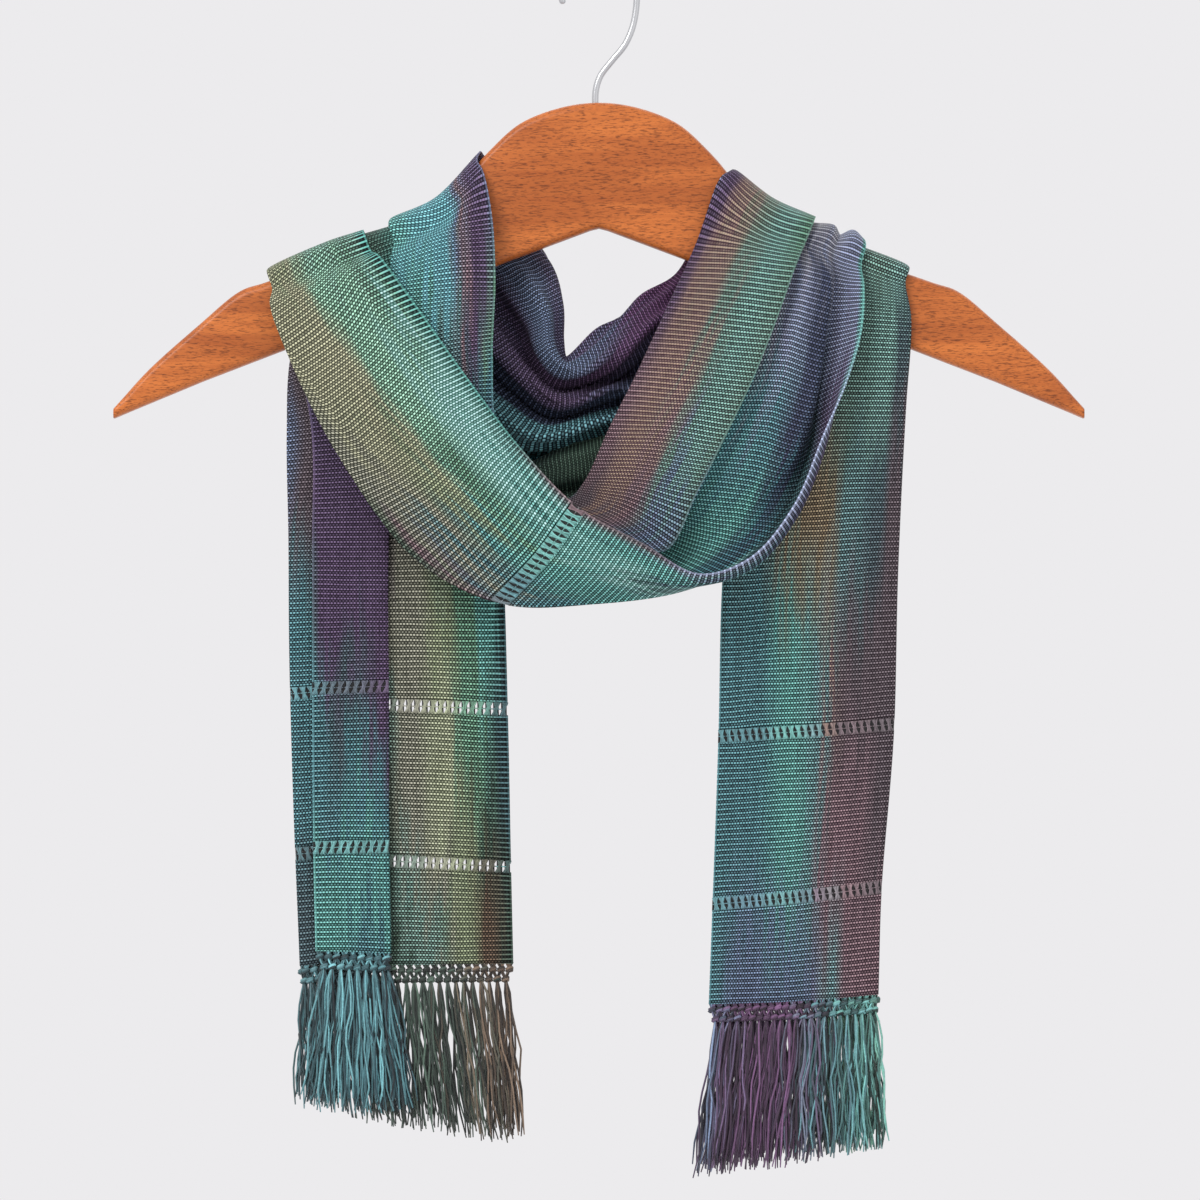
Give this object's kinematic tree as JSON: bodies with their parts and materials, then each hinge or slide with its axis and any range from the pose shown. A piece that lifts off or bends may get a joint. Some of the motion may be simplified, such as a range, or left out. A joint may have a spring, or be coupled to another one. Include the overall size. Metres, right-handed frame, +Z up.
{
  "type": "wrap scarf on a clothes hanger",
  "caption": "Long fringed wrap scarf in ribbed handwoven cloth, wound once round the shoulders of a wooden clothes hanger with both tails hanging in front.",
  "frame": {"origin": "inside of the crown of the hook's crook, where a rail or wall hook holds the hanger", "axes": "+X to the right as seen from the front, -Y towards the front, where both tails and the loop hang, +Z up"},
  "size_m": [0.443, 0.0848, 0.5571],
  "materials": {
    "wood": "satin varnished mahogany",
    "wire": "drawn steel wire",
    "cloth_tail_left": "ribbed handwoven cloth",
    "cloth_back_inner": "ribbed handwoven cloth",
    "cloth_loop": "ribbed handwoven cloth",
    "cloth_back_outer": "ribbed handwoven cloth",
    "cloth_tail_right": "ribbed handwoven cloth",
    "fringe_left": "twisted thread",
    "fringe_right": "twisted thread"
  },
  "bodies": {
    "root": {"hanger_board": "wood", "hanger_hook": "wire", "tail_left": "cloth_tail_left", "back_inner": "cloth_back_inner", "loop": "cloth_loop", "back_outer": "cloth_back_outer", "tail_right": "cloth_tail_right", "fringe_left": "fringe_left", "fringe_right": "fringe_right"}
  },
  "joints": []
}
